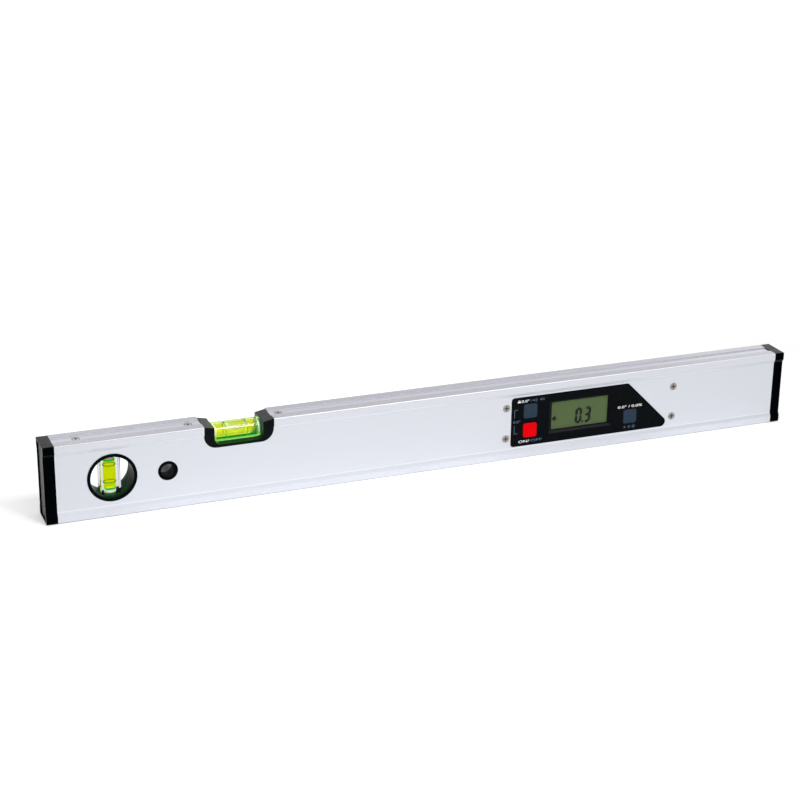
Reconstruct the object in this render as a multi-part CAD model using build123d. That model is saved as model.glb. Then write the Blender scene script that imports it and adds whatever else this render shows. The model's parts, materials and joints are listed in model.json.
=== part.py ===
from build123d import *
import os
from math import cos, radians, tan

# Digital spirit level: extruded box body, two bubble vials, a hang hole and an angle display with three keys
# Millimetres. X runs along the length, the front faces -Y, the lower measuring face lies at Z = 0

# Extruded body
body_length = 600.0
body_height = 59.2
body_width = 24.2
edge_radius = 0.9
flange_height = 5.7
flange_slope = 2.4
slope_radius = 0.5
web_recess = 1.4
groove_width = 8.4
groove_depth = 0.8
web_wall = 1.8
flange_wall = 2.6
cavity_radius = 1.5

# Clearances
slide_clearance = 0.12
seat_clearance = 0.1
key_clearance = 0.25
cover_clearance = 0.2
vial_clearance = 0.25
stack_gap = 0.05

# End caps
cap_length = 8.3
cap_inset = 0.1
cap_radius = 0.5
cap_panel_depth = 0.9
cap_rim = 1.3
cap_panel_radius = 2.0
plug_length = 12.0
plug_wall = 2.0

# Countersunk screws of the body and small screws of the module
screw_thread = 3.0
screw_head = 6.0
screw_land = 0.2
screw_length = 9.0
small_thread = 2.0
small_head = 3.8
small_head_height = 1.3
small_length = 6.0
recess_span = 0.6
recess_width = 0.16
recess_depth = 1.0
pilot_extra = 1.0

# Hang hole
hang_from_end = 89.4
hang_drop = 0.5
hang_bore = 10.4
hang_sleeve = 13.0
hang_flange = 14.7
hang_flange_height = 0.5
hang_mouth_radius = 0.4

# Lying vial and its cradle
notch_from_end = 143.0
notch_width = 52.6
notch_depth = 17.4
notch_radius = 9.5
cradle_end = 8.0
cradle_lip = 2.1
cradle_pocket_radius = 5.0
cradle_outer_drop = 0.6
cradle_inner_drop = 2.2
cradle_belly = 2.4
level_vial_drop = 9.2
level_vial_diameter = 14.4
level_bore_middle = 10.6
level_bore_end = 10.2
level_plug_length = 3.0
level_spigot = 7.0
level_spigot_length = 3.5
level_ring_spacing = 16.0
bubble_length = 13.0
bubble_depth = 4.4
bubble_lift = 0.3

# Anchors that hold the cradle down
anchor_length = 15.0
anchor_height = 12.0
anchor_screw_left = 8.8
anchor_screw_right = 6.9
tongue_length = 3.0
tongue_width = 10.0
tongue_height = 4.0
tongue_drop = 5.0

# Ring marks of both vials
ring_width = 0.5
ring_depth = 0.3

# Upright vial and its window
plumb_from_end = 48.7
plumb_window = 31.6
plumb_sleeve_wall = 1.1
plumb_flange = 36.4
plumb_flange_height = 0.6
plumb_sleeve_depth = 3.6
plumb_mouth_radius = 0.4
plumb_flare = 0.8
plumb_insert_left = 26.4
plumb_insert_right = 21.0
plumb_screw_offset = 22.6
plumb_block_width = 14.4
plumb_block_depth = 12.0
plumb_block_seat = 2.5
plumb_bore_middle = 8.8
plumb_bore_end = 8.4
plumb_bore_length = 24.0
plumb_liquid_height = 22.7
plumb_ring_spacing = 13.0

# Display bezel
bezel_from_right_end = 240.0
bezel_top_length = 100.2
bezel_height = 40.2
bezel_slant = 45.0
bezel_left_radius = 2.6
bezel_top_radius = 3.0
bezel_tip_radius = 4.1
bezel_proud = 0.4
bezel_edge_radius = 0.4
skirt_wall = 1.2
skirt_depth = 2.2

# Display stack
lcd_left_margin = 35.0
lcd_right_margin = 16.8
lcd_height = 22.3
lcd_rise = 0.7
window_depth = 1.9
window_bevel_side = 3.0
window_bevel_top = 2.0
window_bevel_low = 3.4
window_radius = 1.0
lens_margin = 1.6
lens_thickness = 0.8
panel_margin_side = 2.5
panel_margin_end = 3.8
panel_thickness = 1.8
backlight_margin = 1.0
backlight_thickness = 1.5
strip_width = 1.6
strip_gap = 0.3

# Keys and switches
key_size = 11.4
key_radius = 1.8
key_proud = 0.8
key_edge_radius = 0.4
key_left_column = 15.7
key_right_reach = 2.2
key_row = 7.9
key_rise = 0.5
key_lip = 0.8
key_lip_height = 0.7
key_travel = 0.6
key_stop_gap = 0.18
switch_size = 6.2
stem_diameter = 3.4
stem_clearance = 0.1
stem_depth = 0.9

# Board and what it carries
board_clearance = 0.4
board_thickness = 1.0
post_diameter = 4.8
post_row = 14.0
post_left = 7.0
post_top_inset = 4.5
post_low_reach = 21.0
sensor_length = 15.6
sensor_width = 11.4
sensor_height = 4.6
sensor_gap = 3.75
chip_size = 10.0
chip_height = 1.5
chip_gap = 1.15
chip_rise = 2.0
buzzer_diameter = 12.0
buzzer_height = 4.0
buzzer_reach = 11.0
buzzer_drop = 8.0

# Tray of the module
display_screw_gap = 4.2
display_screw_rows = 25.0
tray_end = 6.0
tray_ledge = 2.0
tray_wall = 1.6

# Batteries and cover
cell_diameter = 10.5
cell_length = 44.5
cell_nub = 3.8
cell_nub_height = 0.8
cell_gap = 0.7
cell_clearance = 0.2
well_wall = 1.0
contact_room = 2.8
contact_thickness = 0.4
contact_width = 7.0
contact_tail = 2.0
cover_plate = 1.3
cover_proud = 0.4
cover_rim = 1.2
cover_margin = 2.0
cover_radius = 4.0
cover_edge_radius = 0.5
cover_boss = 5.2
cover_boss_depth = 6.0

# Places that follow from the sizes above
mid = body_height / 2
body_left = cap_length - body_length / 2
body_right = body_length / 2 - cap_length
web_face = body_width / 2 - web_recess
cavity_half = web_face - web_wall
cavity_low = groove_depth + flange_wall
cavity_high = body_height - cavity_low
groove_floor = body_height - groove_depth
beyond = body_width
hang_x = hang_from_end - body_length / 2
hang_z = mid - hang_drop
plumb_x = plumb_from_end - body_length / 2
notch_x = notch_from_end - body_length / 2
notch_left = notch_x - notch_width / 2
notch_right = notch_x + notch_width / 2
pocket_width = notch_width - 2 * cradle_end
level_z = body_height - level_vial_drop
level_tube_length = pocket_width - 2 * vial_clearance
level_bore_length = level_tube_length - 2 * level_plug_length
plumb_block_height = plumb_window + 2 * plumb_block_seat
plumb_sleeve = plumb_window + 2 * plumb_sleeve_wall
bezel_left = body_length / 2 - bezel_from_right_end
bezel_top_end = bezel_left + bezel_top_length
bezel_lean = tan(radians(bezel_slant))
bezel_front = -web_face - bezel_proud
tray_front = slide_clearance - cavity_half
tray_back = -tray_front
lcd_width = bezel_top_length - lcd_left_margin - lcd_right_margin
lcd_x = bezel_left + lcd_left_margin + lcd_width / 2
lcd_z = mid + lcd_rise
lens_front = bezel_front + window_depth
lens_back = lens_front + lens_thickness
panel_front = lens_back + stack_gap
panel_back = panel_front + panel_thickness
board_front = panel_back + backlight_thickness
board_back = board_front + board_thickness
key_front = bezel_front - key_proud
lip_front = tray_front + stack_gap
lip_back = lip_front + key_lip_height
switch_front = lip_back + key_travel + key_stop_gap
switch_floor = switch_front + stem_depth + key_travel + key_stop_gap
screw_left = bezel_left - display_screw_gap
screw_right = bezel_top_end + bezel_height * bezel_lean
cell_stack = well_wall + 2 * cell_clearance + cell_diameter + cover_plate
cover_back = max(web_face + cover_proud, board_back + board_clearance + cell_stack)
cover_inner = cover_back - cover_plate
cell_y = cover_inner - cell_clearance - cell_diameter / 2
cell_rise = (cell_diameter + cell_gap) / 2
well_floor = cell_y - cell_diameter / 2 - cell_clearance
well_half_length = cell_length / 2 + contact_room
well_half_height = cell_rise + cell_diameter / 2 + cell_clearance
cover_boss_x = well_half_length + well_wall + cover_boss / 2
cover_length = 2 * (cover_boss_x + cover_boss / 2 + cover_margin)
cover_height = 2 * (well_half_height + well_wall + cover_margin)


# A flat shape drawn in X and Z, carried through Y
def across(sketch, front, back):
    return Pos(0, back, 0) * extrude(Plane.XZ * sketch, back - front)


# A flat shape drawn in Y and Z, carried through X
def along(sketch, left, right):
    return Pos(left, 0, 0) * extrude(Plane.YZ * sketch, right - left)


def disc(x, z, diameter):
    return Pos(x, z) * Circle(diameter / 2)


def group(*pieces):
    return Compound(children=list(pieces))


# Outer outline of the extrusion, seen along its length, drawn in by an inset
def body_outline(inset):
    half = body_width / 2 - inset
    web = web_face - inset
    groove = groove_width / 2 + inset
    low = inset
    floor = groove_depth + inset
    bend = flange_height + flange_slope
    side = [(groove, floor), (groove, low), (half, low), (half, flange_height), (web, bend)]
    upper = [(y, body_height - z) for y, z in reversed(side)]
    right = side + upper
    left = [(-y, z) for y, z in reversed(right)]
    face = make_face(Polyline(*right, *left, close=True))
    reach = mid - flange_height / 2
    outer = [v for v in face.vertices() if abs(v.X) > web and abs(v.Y - mid) > reach]
    face = fillet(outer, edge_radius)
    bends = [v for v in face.vertices() if abs(v.X) > cavity_half and abs(v.Y - mid) < reach]
    return fillet(bends, slope_radius)


# Inner outline of the extrusion, drawn in by an inset
def cavity_outline(inset):
    width = 2 * (cavity_half - inset)
    height = cavity_high - cavity_low - 2 * inset
    return Pos(0, mid) * RectangleRounded(width, height, cavity_radius)


# The notch for the lying vial, open at the top
def notch_outline(inset):
    low = body_height - notch_depth + inset
    high = body_height + notch_depth
    block = Pos(notch_x, (low + high) / 2) * Rectangle(notch_width - 2 * inset, high - low)
    return fillet(block.vertices().sort_by(Axis.Y)[:2], notch_radius - inset)


# Front outline of the display, drawn in by an inset, with its slanted right-hand end
def bezel_outline(inset):
    left = bezel_left + inset
    low = mid - bezel_height / 2 + inset
    high = mid + bezel_height / 2 - inset
    edge = bezel_top_end - inset / cos(radians(bezel_slant))
    top_right = edge + inset * bezel_lean
    tip = edge + (bezel_height - inset) * bezel_lean
    face = make_face(Polyline((left, low), (left, high), (top_right, high), (tip, low), close=True))
    corners = face.vertices().sort_by(Axis.X)
    face = fillet(corners[:2], bezel_left_radius)
    top = [v for v in face.vertices() if v.Y > mid]
    face = fillet(sorted(top, key=lambda v: v.X)[-1:], bezel_top_radius)
    return fillet(face.vertices().sort_by(Axis.X)[-1:], bezel_tip_radius)


def cover_outline(inset):
    width = cover_length - 2 * inset
    height = cover_height - 2 * inset
    return Pos(lcd_x, mid) * RectangleRounded(width, height, cover_radius - inset)


# A countersunk screw standing head up along Z with the top of its head at the origin
def sunk_screw(thread, head, length):
    slope = (head - thread) / 2
    cone = Pos(0, 0, -screw_land - slope / 2) * Cone(thread / 2, head / 2, slope)
    land = Pos(0, 0, -screw_land / 2) * Cylinder(head / 2, screw_land)
    shank = Pos(0, 0, -length / 2) * Cylinder(thread / 2, length)
    return cone + land + shank - cross_recess(head)


# The sunk hole that a countersunk screw sits in, with room around head and shank
def sunk_hole(thread, head, length):
    slope = (head - thread) / 2
    room = seat_clearance
    cone = Pos(0, 0, -screw_land - slope / 2) * Cone(thread / 2 + room, head / 2 + room, slope)
    mouth = Pos(0, 0, (length - screw_land) / 2) * Cylinder(head / 2 + room, length + screw_land)
    deep = length + pilot_extra
    return cone + mouth + Pos(0, 0, -deep / 2) * Cylinder(thread / 2 + room, deep)


def cross_recess(head):
    bar = Box(head * recess_span, head * recess_width, 2 * recess_depth)
    return bar + Rot(0, 0, 90) * bar


# A small screw with a flat round head, standing along Z with its seat at the origin
def small_screw():
    head = Pos(0, 0, small_head_height / 2) * Cylinder(small_head / 2, small_head_height)
    shank = Pos(0, 0, -small_length / 2) * Cylinder(small_thread / 2, small_length)
    return head + shank - Pos(0, 0, small_head_height) * cross_recess(small_head)


def top_screw_places():
    plumb = plumb_x - plumb_screw_offset
    return plumb, notch_left - anchor_screw_left, notch_right + anchor_screw_right


def display_screw_places():
    rows = (mid - display_screw_rows / 2, mid + display_screw_rows / 2)
    return [Pos(x, -web_face, z) * Rot(90, 0, 0) for x in (screw_left, screw_right) for z in rows]


def cover_screw_places():
    return [Pos(lcd_x + side * cover_boss_x, cover_back, mid) * Rot(-90, 0, 0) for side in (-1, 1)]


def key_places():
    left = bezel_left + key_left_column
    right = bezel_top_end + key_right_reach
    high = mid + key_rise + key_row
    low = mid + key_rise - key_row
    return {"hold": (left, high), "power": (left, low), "light": (right, low)}


def post_places():
    left = [(bezel_left + post_left, mid - post_row), (bezel_left + post_left, mid + post_row)]
    top = (bezel_top_end - post_top_inset, mid + post_row)
    low = (bezel_top_end + post_low_reach, mid - post_row)
    return left + [top, low]


# The extrusion with its grooves, window, hang hole, notch and module openings
def make_profile():
    body = along(body_outline(0) - cavity_outline(0), body_left, body_right)
    body -= across(notch_outline(0), -beyond, beyond)
    body -= across(disc(plumb_x, mid, plumb_sleeve + 2 * seat_clearance), -beyond, beyond)
    body -= across(disc(hang_x, hang_z, hang_sleeve + 2 * seat_clearance), -beyond, beyond)
    body -= across(bezel_outline(-seat_clearance), -beyond, 0)
    body -= across(cover_outline(-cover_clearance), 0, beyond)
    for x in top_screw_places():
        body -= Pos(x, 0, groove_floor) * sunk_hole(screw_thread, screw_head, screw_length)
    for place in display_screw_places():
        body -= place * sunk_hole(screw_thread, screw_head, screw_length)
    return body


# Right-hand end cap: stepped plate with a sunk panel and a hollow plug
def make_cap():
    across_groove = Pos(0, mid) * Rectangle(2 * web_face, body_height - 2 * cap_inset)
    plate = along(body_outline(cap_inset) + across_groove, body_right, body_right + cap_length)
    plate = fillet(plate.faces().sort_by(Axis.X)[-1].outer_wire().edges(), cap_radius)
    width = 2 * (web_face - cap_rim)
    height = body_height - 2 * cap_rim
    panel = Pos(0, mid) * RectangleRounded(width, height, cap_panel_radius)
    plate -= along(panel, body_right + cap_length - cap_panel_depth, body_right + 2 * cap_length)
    sleeve = cavity_outline(slide_clearance) - cavity_outline(slide_clearance + plug_wall)
    return plate + along(sleeve, body_right - plug_length, body_right)


# Front half of the lining of the hang hole
def make_bush():
    flange = across(disc(hang_x, hang_z, hang_flange), -web_face - hang_flange_height, -web_face)
    sleeve = across(disc(hang_x, hang_z, hang_sleeve), -web_face, 0)
    bush = flange + sleeve - across(disc(hang_x, hang_z, hang_bore), -beyond, beyond)
    mouth = bush.faces().sort_by(Axis.Y)[0].edges()
    return fillet(mouth, hang_mouth_radius)


# Solid that fills a barrel bore lying along X about the origin
def barrel(length, middle, end):
    wall = ThreePointArc((-length / 2, end / 2), (0, middle / 2), (length / 2, end / 2))
    base = Polyline((length / 2, end / 2), (length / 2, 0), (-length / 2, 0), (-length / 2, end / 2))
    return revolve(make_face([wall, base]), Axis.X)


# The two ring marks of a vial, lying along X about the origin
def ring_marks(bore, spacing):
    outer = Circle(bore / 2 + ring_depth)
    ring = along(outer - Circle(bore / 2 - ring_depth), -ring_width / 2, ring_width / 2)
    return [Pos(side * spacing / 2, 0, 0) * ring for side in (-1, 1)]


# U-shaped cradle in the notch, with sloped ends, a trough and slots for the anchors
def make_cradle():
    inner = pocket_width / 2
    outer = notch_width / 2
    low = body_height - notch_depth
    inner_top = body_height - cradle_inner_drop
    outer_top = body_height - cradle_outer_drop
    right = [(notch_x + inner, inner_top), (notch_x + outer, outer_top), (notch_x + outer, low)]
    left = [(2 * notch_x - x, z) for x, z in reversed(right)]
    outline = notch_outline(seat_clearance) & make_face(Polyline(*right, *left, close=True))
    pocket_low = low + cradle_lip
    pocket = Pos(notch_x, pocket_low + body_height / 2) * Rectangle(pocket_width, body_height)
    outline -= fillet(pocket.vertices().sort_by(Axis.Y)[:2], cradle_pocket_radius)
    cradle = across(outline, -web_face, web_face)
    belly_half = inner - cradle_pocket_radius / 2
    belly = Rectangle(2 * (cavity_half - slide_clearance), cradle_belly + cradle_lip)
    belly_z = low + (cradle_lip - cradle_belly) / 2
    cradle += along(Pos(0, belly_z) * belly, notch_x - belly_half, notch_x + belly_half)
    trough = Pos(0, level_z) * Circle(level_vial_diameter / 2 + vial_clearance)
    cradle -= along(trough, notch_x - inner, notch_x + inner)
    socket = Pos(0, level_z) * Circle(level_spigot / 2 + seat_clearance)
    reach = inner + level_spigot_length + seat_clearance
    cradle -= along(socket, notch_x - reach, notch_x + reach)
    slot = Box(2 * (tongue_length + seat_clearance), tongue_width, tongue_height)
    slot = offset(slot, seat_clearance, kind=Kind.INTERSECTION)
    for x in (notch_left, notch_right):
        cradle -= Pos(x, 0, cavity_high - tongue_drop) * slot
    return cradle


# Block inside the section beside the notch, side -1 for left and 1 for right, with its tongue
def make_anchor(side, screw_gap):
    band = Pos(0, cavity_high - anchor_height / 2) * Rectangle(body_width, anchor_height)
    section = cavity_outline(slide_clearance) & band
    near = notch_x + side * (notch_width / 2 + stack_gap)
    far = near + side * anchor_length
    anchor = along(section, min(near, far), max(near, far))
    tongue = Box(2 * tongue_length, tongue_width, tongue_height)
    anchor += Pos(near, 0, cavity_high - tongue_drop) * tongue
    screw_x = notch_x + side * (notch_width / 2 + screw_gap)
    return anchor - Pos(screw_x, 0, groove_floor) * sunk_hole(screw_thread, screw_head, screw_length)


def place_level(piece):
    return Pos(notch_x, 0, level_z) * piece


def make_level_tube():
    half = level_tube_length / 2
    tube = along(Circle(level_vial_diameter / 2), -half, half)
    tube -= along(Circle(level_bore_end / 2), -half, half)
    tube -= barrel(level_bore_length, level_bore_middle, level_bore_end)
    for ring in ring_marks(level_bore_middle, level_ring_spacing):
        tube -= ring
    return place_level(tube)


# Liquid of the lying vial with the bubble pressed into its top
def make_level_liquid():
    liquid = barrel(level_bore_length, level_bore_middle, level_bore_end)
    bubble = scale(Sphere(bubble_depth / 2), by=(bubble_length / bubble_depth, 1, 1))
    liquid -= Pos(0, 0, level_bore_middle / 2 - bubble_depth / 2 + bubble_lift) * bubble
    for ring in ring_marks(level_bore_middle, level_ring_spacing):
        liquid -= ring
    return place_level(liquid)


def make_level_rings():
    return group(*[place_level(ring) for ring in ring_marks(level_bore_middle, level_ring_spacing)])


# End plugs of the lying vial, each with the spigot that sits in the cradle
def make_level_plugs():
    half = level_tube_length / 2
    plug = along(Circle(level_bore_end / 2), half - level_plug_length, half)
    plug += along(Circle(level_spigot / 2), half, half + vial_clearance + level_spigot_length)
    return group(place_level(plug), place_level(mirror(plug, about=Plane.YZ)))


# Moulded block behind the window of the upright vial
def make_plumb_insert():
    left = plumb_x - plumb_insert_left
    right = plumb_x + plumb_insert_right
    insert = along(cavity_outline(slide_clearance), left, right)
    insert -= across(disc(plumb_x, mid, plumb_window), -beyond, beyond)
    seat = web_face - plumb_sleeve_depth
    bore = disc(plumb_x, mid, plumb_sleeve + 2 * seat_clearance)
    insert -= across(bore, -beyond, -seat)
    insert -= across(bore, seat, beyond)
    slot_width = plumb_block_width + 2 * seat_clearance
    slot_height = plumb_block_height + 2 * seat_clearance
    slot = Pos(plumb_x, mid) * Rectangle(slot_width, slot_height)
    insert -= across(slot, -plumb_block_depth / 2 - seat_clearance, beyond)
    screw_x = plumb_x - plumb_screw_offset
    return insert - Pos(screw_x, 0, groove_floor) * sunk_hole(screw_thread, screw_head, screw_length)


# Front ring of the window
def make_plumb_bezel():
    flange = across(disc(plumb_x, mid, plumb_flange), -web_face - plumb_flange_height, -web_face)
    sleeve = across(disc(plumb_x, mid, plumb_sleeve), -web_face, plumb_sleeve_depth - web_face)
    bezel = flange + sleeve - across(disc(plumb_x, mid, plumb_window), -beyond, beyond)
    mouth = bezel.faces().sort_by(Axis.Y)[0].edges()
    return fillet(mouth, plumb_mouth_radius)


# Back ring of the window, whose bore opens outwards
def make_plumb_back_bezel():
    depth = plumb_sleeve_depth + plumb_flange_height
    flare = Cone(plumb_window / 2, plumb_window / 2 + plumb_flare, depth)
    middle = web_face + plumb_flange_height - depth / 2
    ring = mirror(make_plumb_bezel(), about=Plane.XZ)
    return ring - Pos(plumb_x, middle, mid) * Rot(-90, 0, 0) * flare


def place_plumb(piece):
    return Pos(plumb_x, 0, mid) * Rot(0, -90, 0) * piece


def make_plumb_block():
    block = Pos(plumb_x, 0, mid) * Box(plumb_block_width, plumb_block_depth, plumb_block_height)
    bore = barrel(plumb_bore_length, plumb_bore_middle, plumb_bore_end)
    bore += along(Circle(plumb_bore_end / 2), -plumb_block_height, 0)
    for ring in ring_marks(plumb_bore_middle, plumb_ring_spacing):
        bore += ring
    return block - place_plumb(bore)


# Liquid of the upright vial, with the air gathered above it
def make_plumb_liquid():
    liquid = barrel(plumb_bore_length, plumb_bore_middle, plumb_bore_end)
    level = plumb_liquid_height - plumb_bore_length / 2
    liquid -= along(Circle(plumb_bore_middle), level, plumb_bore_length)
    for ring in ring_marks(plumb_bore_middle, plumb_ring_spacing):
        liquid -= ring
    return place_plumb(liquid)


def make_plumb_rings():
    return group(*[place_plumb(ring) for ring in ring_marks(plumb_bore_middle, plumb_ring_spacing)])


# Plug that closes the bore at its foot
def make_plumb_plug():
    return place_plumb(along(Circle(plumb_bore_end / 2), -plumb_block_height / 2, -plumb_bore_length / 2))


# Opening and margins of the display, as a flat rectangle about its middle
def lcd_area(margin_side, margin_end, corner):
    width = lcd_width + 2 * margin_side
    height = lcd_height + 2 * margin_end
    return Pos(lcd_x, lcd_z) * RectangleRounded(width, height, corner)


def key_area(place, margin):
    size = key_size + 2 * margin
    return Pos(*place) * RectangleRounded(size, size, key_radius + margin)


# Bevelled opening that narrows from the front down to the display glass
def window_funnel():
    width = lcd_width + 2 * window_bevel_side
    height = lcd_height + window_bevel_low + window_bevel_top
    left, low = window_bevel_side, window_bevel_low
    inner = (left, low, left + lcd_width, low + lcd_height)
    corner = Pos(lcd_x - width / 2, bezel_front, lcd_z - lcd_height / 2 - low)
    return corner * Wedge(width, window_depth, height, *inner, align=(Align.MIN, Align.MIN, Align.MIN))


# Front of the display with a bevelled window, key openings and a skirt that plugs into the tray
def make_bezel():
    bezel = across(bezel_outline(0), bezel_front, tray_front)
    bezel = fillet(bezel.faces().sort_by(Axis.Y)[0].outer_wire().edges(), bezel_edge_radius)
    inner = tray_ledge + slide_clearance
    skirt = bezel_outline(inner) - bezel_outline(inner + skirt_wall)
    bezel += across(skirt, tray_front, tray_front + skirt_depth)
    bezel -= window_funnel()
    rebate = lens_margin + seat_clearance
    bezel -= across(lcd_area(rebate, rebate, window_radius), lens_front, beyond)
    for place in key_places().values():
        bezel -= across(key_area(place, key_clearance), -beyond, beyond)
    return bezel


def make_lens():
    return across(lcd_area(lens_margin, lens_margin, window_radius), lens_front, lens_back)


def make_panel():
    return across(lcd_area(panel_margin_side, panel_margin_end, window_radius), panel_front, panel_back)


def make_backlight():
    return across(lcd_area(backlight_margin, backlight_margin, window_radius), panel_back, board_front)


# Conductive strips between the display glass and the board, above and below the backlight
def make_strips():
    rise = lcd_height / 2 + backlight_margin + strip_gap + strip_width / 2
    strips = [Pos(lcd_x, lcd_z + side * rise) * Rectangle(lcd_width, strip_width) for side in (-1, 1)]
    return group(*[across(strip, panel_back, board_front) for strip in strips])


def make_board():
    board = across(bezel_outline(tray_ledge + board_clearance), board_front, board_back)
    for x, z in post_places():
        board -= across(disc(x, z, small_thread + 2 * seat_clearance), -beyond, beyond)
    return board


def make_board_screws():
    return group(*[Pos(x, board_front, z) * Rot(90, 0, 0) * small_screw() for x, z in post_places()])


def make_sensor():
    right = lcd_x - well_half_length - well_wall - sensor_gap
    outline = Pos(right - sensor_length / 2, mid) * Rectangle(sensor_length, sensor_width)
    return across(outline, board_back, board_back + sensor_height)


def make_chip():
    left = lcd_x + cover_boss_x + cover_boss / 2 + chip_gap
    outline = Pos(left + chip_size / 2, mid + chip_rise) * Rectangle(chip_size, chip_size)
    return across(outline, board_back, board_back + chip_height)


def make_buzzer():
    outline = disc(bezel_top_end + buzzer_reach, mid - buzzer_drop, buzzer_diameter)
    return across(outline, board_back, board_back + buzzer_height)


# A key with the lip that keeps it behind the bezel
def make_key(place):
    cap = across(key_area(place, 0), key_front, lip_front)
    cap = fillet(cap.faces().sort_by(Axis.Y)[0].edges(), key_edge_radius)
    return cap + across(key_area(place, key_lip), lip_front, lip_back)


def make_stem(place):
    return across(disc(*place, stem_diameter), lip_back, switch_front + stem_depth)


# The three switch bodies, each open at the front for its stem
def make_switches():
    bodies = []
    for place in key_places().values():
        body = across(Pos(*place) * Rectangle(switch_size, switch_size), switch_front, board_front)
        hole = disc(*place, stem_diameter + 2 * stem_clearance)
        bodies.append(body - across(hole, switch_front, switch_floor))
    return group(*bodies)


# Inner outline of the battery well, grown by a margin
def well_outline(margin):
    return Pos(lcd_x, mid) * Rectangle(2 * (well_half_length + margin), 2 * (well_half_height + margin))


# Tray inside the section: board chamber in front, battery well at the back
def make_tray():
    tray = along(cavity_outline(slide_clearance), screw_left - tray_end, screw_right + tray_end)
    chamber_back = tray_back - tray_wall
    tray -= across(bezel_outline(tray_ledge), -beyond, chamber_back)
    tray += across(well_outline(well_wall), well_floor - well_wall, chamber_back)
    pilot_end = board_back + small_length
    for x, z in post_places():
        tray += across(disc(x, z, post_diameter), board_back, chamber_back)
        tray -= across(disc(x, z, small_thread + 2 * seat_clearance), board_back, pilot_end)
    for side in (-1, 1):
        boss = disc(lcd_x + side * cover_boss_x, mid, cover_boss)
        tray += across(boss, tray_back - cover_boss_depth, chamber_back)
    tray -= across(well_outline(0), well_floor, beyond)
    for place in tail_places():
        tray -= across(tail_slot(place, seat_clearance), well_floor - 2 * well_wall, well_floor)
    for place in display_screw_places():
        tray -= place * sunk_hole(screw_thread, screw_head, screw_length)
    for place in cover_screw_places():
        tray -= place * sunk_hole(small_thread, small_head, small_length)
    return tray


def make_display_screws():
    screw = sunk_screw(screw_thread, screw_head, screw_length)
    return group(*[place * screw for place in display_screw_places()])


# One cell along X with its positive end towards +X
def make_cell():
    can = along(Circle(cell_diameter / 2), -cell_length / 2, cell_length / 2 - cell_nub_height)
    return can + along(Circle(cell_nub / 2), 0, cell_length / 2)


def make_cells():
    cell = make_cell()
    upper = Pos(lcd_x, cell_y, mid + cell_rise) * cell
    lower = Pos(lcd_x, cell_y, mid - cell_rise) * Rot(0, 180, 0) * cell
    return group(upper, lower)


# Where the tails of the two terminals pass through the floor of the well
def tail_places():
    x = lcd_x - well_half_length + contact_thickness / 2
    return (x, mid + cell_rise), (x, mid - cell_rise)


def tail_slot(place, margin):
    return Pos(*place) * Rectangle(contact_thickness + 2 * margin, contact_tail + 2 * margin)


# Flat contact against the left end wall, with a round boss that meets the positive end
def plus_contact(height):
    plate = Box(contact_thickness, contact_width, height)
    boss = along(Circle(cell_nub / 2), contact_thickness / 2, contact_room - contact_thickness / 2)
    return plate + boss


# Folded contact against the left end wall, whose leaf presses on the negative end
def minus_contact(height):
    half = contact_width / 2 - contact_thickness
    tip = contact_room - contact_thickness
    leaf = trace(Polyline((0, -half), (0, half), (tip, 0), (tip / 2, -half)), contact_thickness)
    plate = Box(contact_thickness, contact_width, height)
    return plate + Pos(0, 0, -contact_tail) * extrude(leaf, 2 * contact_tail)


# The two terminals on the left, each with a tail down to the board
def make_terminals():
    pieces = []
    for place, contact in zip(tail_places(), (minus_contact(contact_width), plus_contact(contact_width))):
        piece = Pos(place[0], cell_y, place[1]) * contact
        pieces.append(piece + across(tail_slot(place, 0), board_back, cell_y))
    return group(*pieces)


# The contact on the right that joins the two cells
def make_bridge():
    x = lcd_x + well_half_length - contact_thickness / 2
    turn = Rot(0, 180, 0)
    upper = Pos(x, cell_y, mid + cell_rise) * turn * plus_contact(contact_width)
    lower = Pos(x, cell_y, mid - cell_rise) * turn * minus_contact(contact_width)
    link = Pos(x, cell_y, mid) * Box(contact_thickness, contact_width, 2 * cell_rise)
    return upper + lower + link


# Cover of the battery well: plate with a rim that stands on the tray
def make_cover():
    cover = across(cover_outline(0), cover_inner, cover_back)
    cover = fillet(cover.faces().sort_by(Axis.Y)[-1].edges(), cover_edge_radius)
    cover += across(cover_outline(0) - cover_outline(cover_rim), tray_back, cover_inner)
    for side in (-1, 1):
        cover += across(disc(lcd_x + side * cover_boss_x, mid, cover_boss), tray_back, cover_inner)
    for place in cover_screw_places():
        cover -= place * sunk_hole(small_thread, small_head, small_length)
    return cover


def make_cover_screws():
    screw = sunk_screw(small_thread, small_head, small_length)
    return group(*[place * screw for place in cover_screw_places()])


def make_top_screws():
    screw = sunk_screw(screw_thread, screw_head, screw_length)
    return [Pos(x, 0, groove_floor) * screw for x in top_screw_places()]


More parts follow.
